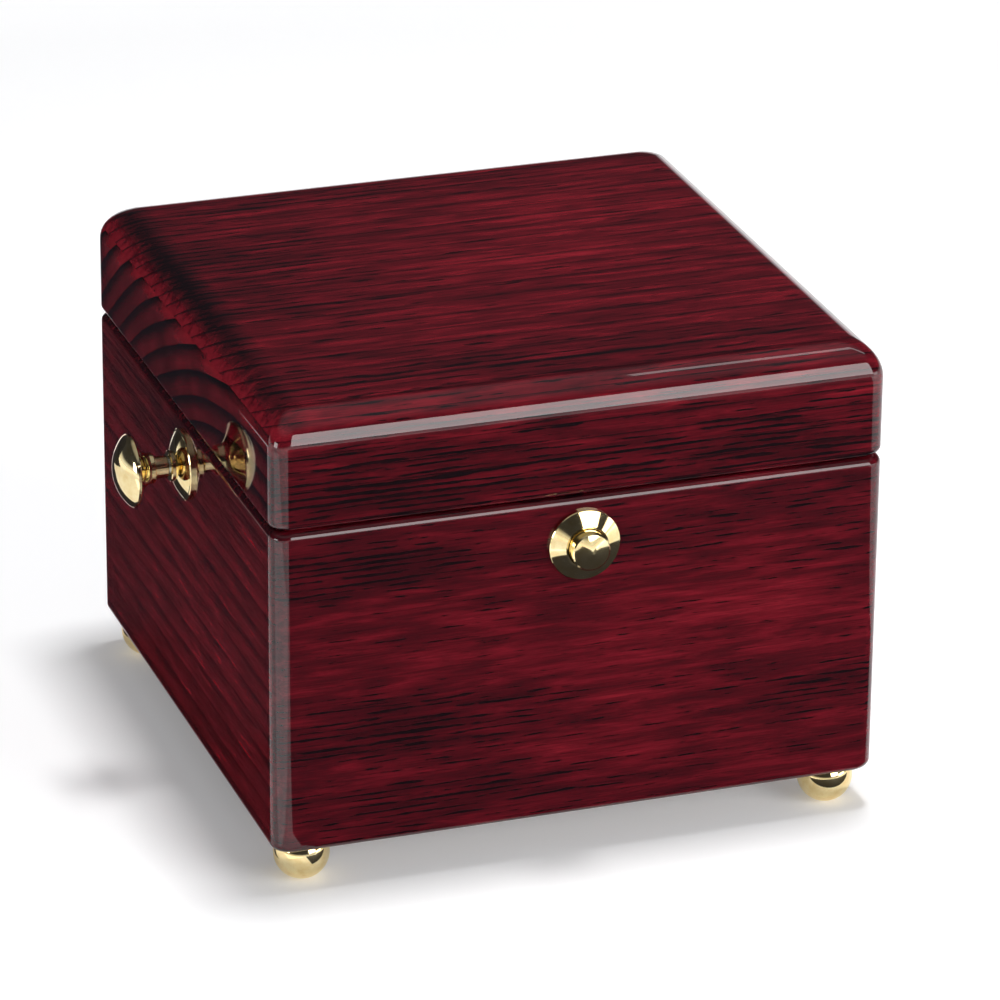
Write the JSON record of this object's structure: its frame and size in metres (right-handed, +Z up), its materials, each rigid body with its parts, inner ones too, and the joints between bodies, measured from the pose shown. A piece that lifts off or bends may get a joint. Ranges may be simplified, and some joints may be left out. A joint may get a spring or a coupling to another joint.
{
  "type": "cylinder music box",
  "caption": "Lacquered hardwood box on ball feet with a hinged lid, a push-button catch, and a cylinder movement wound by a knob on its side.",
  "frame": {"origin": "on the table that the feet stand on, at the middle of the whole box's outline with its knob, button and hinges", "axes": "+Z up, -Y the front with the push button, +X to the right, so the winding knob is on -X"},
  "size_m": [0.1562, 0.1486, 0.1114],
  "materials": {
    "lacquered_veneer": "high-gloss lacquer over red-stained straight-grained veneer",
    "stained_wood": "plain stained softwood",
    "velvet": "short-pile velvet on a thin pad",
    "polished_brass": "polished",
    "movement_brass": "fine brushed",
    "steel": "bright drawn",
    "blued_steel": "heat blued",
    "cast_iron": "machined",
    "lead": "dull grey"
  },
  "bodies": {
    "case": {"front_wall": "lacquered_veneer", "right_wall": "lacquered_veneer", "back_wall": "lacquered_veneer", "left_wall": "lacquered_veneer", "bottom_board": "stained_wood", "movement_deck": "stained_wood", "deck_cleats": "stained_wood", "foot_front_left": "polished_brass", "foot_front_right": "polished_brass", "foot_back_right": "polished_brass", "foot_back_left": "polished_brass", "foot_screws": "steel", "left_hinge_base_leaf": "polished_brass", "right_hinge_base_leaf": "polished_brass", "hinge_pins": "polished_brass", "base_hinge_screws": "polished_brass", "catch_ring": "polished_brass", "catch_nut": "steel", "catch_spring": "steel", "winding_rosette": "polished_brass", "click_spring": "polished_brass", "bedplate": "movement_brass", "left_bridge": "movement_brass", "middle_bridge": "movement_brass", "right_bridge": "movement_brass", "movement_screws": "blued_steel", "comb": "steel", "tuning_leads": "lead", "comb_bar": "cast_iron", "comb_screws": "blued_steel", "governor_frame": "movement_brass"},
    "lid": {"lid_top_board": "lacquered_veneer", "lid_front_rim": "lacquered_veneer", "lid_right_rim": "lacquered_veneer", "lid_back_rim": "lacquered_veneer", "lid_left_rim": "lacquered_veneer", "lid_lining": "velvet", "left_hinge_lid_leaf": "polished_brass", "right_hinge_lid_leaf": "polished_brass", "lid_hinge_screws": "polished_brass", "striker": "polished_brass", "striker_screws": "polished_brass"},
    "catch": {"catch_button": "polished_brass", "catch_plate": "steel"},
    "winder": {"winding_knob": "polished_brass", "winding_arbor": "steel", "ratchet_wheel": "steel"},
    "pawl": {"click": "steel"},
    "cylinder": {"cylinder_drum": "movement_brass", "cylinder_pins": "steel", "cylinder_arbor": "steel", "drum_wheel": "movement_brass"},
    "barrel": {"spring_barrel": "movement_brass", "barrel_cap": "movement_brass", "mainspring": "blued_steel"},
    "governor": {"governor_arbor": "steel", "worm_wheel": "movement_brass"},
    "fan": {"endless_screw": "steel", "fly": "movement_brass"},
    "brake": {"stop_lever": "movement_brass"}
  },
  "joints": [
    {"name": "lid_hinge", "type": "hinge", "parent": "case", "child": "lid", "pos_m": [0.0081, 0.07225, 0.08525], "axis": [-1, 0, 0], "range_deg": [0, 95]},
    {"name": "catch_press", "type": "slide", "parent": "case", "child": "catch", "axis": [0, 1, 0], "range_m": [0, 0.002], "stiffness_N_per_m": 400, "springref_m": -0.002, "deforming": ["catch_spring"]},
    {"name": "winder_turn", "type": "hinge", "parent": "case", "child": "winder", "pos_m": [-0.0469, -0.00045, 0.0746], "axis": [1, 0, 0], "continuous": true},
    {"name": "click_rock", "type": "hinge", "parent": "case", "child": "pawl", "pos_m": [-0.0479, 0.00911, 0.06652], "axis": [-1, 0, 0], "range_deg": [0, 12], "stiffness_Nm_per_rad": 0.01, "springref_deg": -5.73, "deforming": ["click_spring"]},
    {"name": "cylinder_turn", "type": "hinge", "parent": "case", "child": "cylinder", "pos_m": [0.0081, 0.01605, 0.0746], "axis": [1, 0, 0], "continuous": true},
    {"name": "barrel_turn", "type": "hinge", "parent": "case", "child": "barrel", "pos_m": [-0.0349, -0.00045, 0.0746], "axis": [1, 0, 0], "continuous": true},
    {"name": "governor_turn", "type": "hinge", "parent": "case", "child": "governor", "pos_m": [0.0301, 0.00055, 0.0746], "axis": [1, 0, 0], "continuous": true},
    {"name": "fly_spin", "type": "hinge", "parent": "case", "child": "fan", "pos_m": [0.0333, -0.00765, 0.0746], "axis": [0, 0, 1], "continuous": true},
    {"name": "lever_turn", "type": "hinge", "parent": "case", "child": "brake", "pos_m": [0.0472, -0.01217, 0.0631], "axis": [0, 0, 1], "range_deg": [0, 7]}
  ],
  "couplings": [
    {"joint": "barrel_turn", "follows": "cylinder_turn", "ratio": -0.375},
    {"joint": "governor_turn", "follows": "cylinder_turn", "ratio": -4.1667},
    {"joint": "fly_spin", "follows": "cylinder_turn", "ratio": -100}
  ]
}
